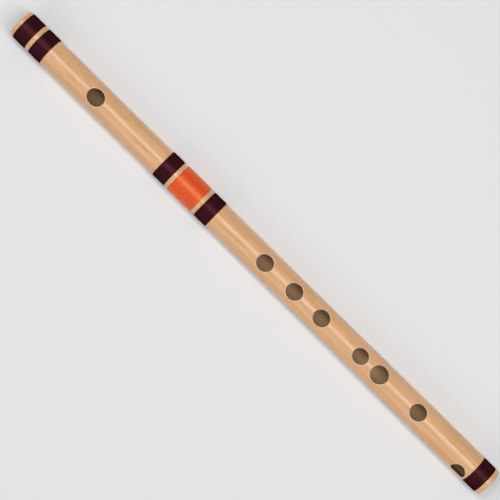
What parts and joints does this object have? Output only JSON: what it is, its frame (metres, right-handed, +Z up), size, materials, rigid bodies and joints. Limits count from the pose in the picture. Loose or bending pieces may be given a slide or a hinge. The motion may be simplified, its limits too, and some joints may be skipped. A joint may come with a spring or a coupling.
{
  "type": "bamboo flute",
  "caption": "Side-blown bamboo flute: a straight open cane with an oval blow hole, open finger holes, a side tuning hole, dark and orange thread bindings and a sliding cork stopper inside.",
  "frame": {"origin": "on the surface that the flute lies on, under the middle of its length and under the axis of its bore", "axes": "+X along the bore from the head to the foot, +Z up through the blow hole and finger holes, -Y towards the side tuning hole"},
  "size_m": [0.48, 0.0232, 0.0231],
  "materials": {
    "bamboo": "satin, oiled and polished cane with fine lengthwise fibres",
    "dark_thread": "satin aubergine thread, close wound",
    "orange_thread": "satin orange thread, close wound",
    "cork": "matte natural cork"
  },
  "bodies": {
    "flute": {"bamboo_tube": "bamboo", "head_end_binding": "dark_thread", "head_inner_binding": "dark_thread", "upper_centre_binding": "dark_thread", "orange_centre_binding": "orange_thread", "lower_centre_binding": "dark_thread", "foot_binding": "dark_thread"},
    "cork": {"cork_stopper": "cork"}
  },
  "joints": [
    {"name": "cork_slide", "type": "slide", "parent": "flute", "child": "cork", "axis": [1, 0, 0], "range_m": [-0.005, 0.005]}
  ]
}
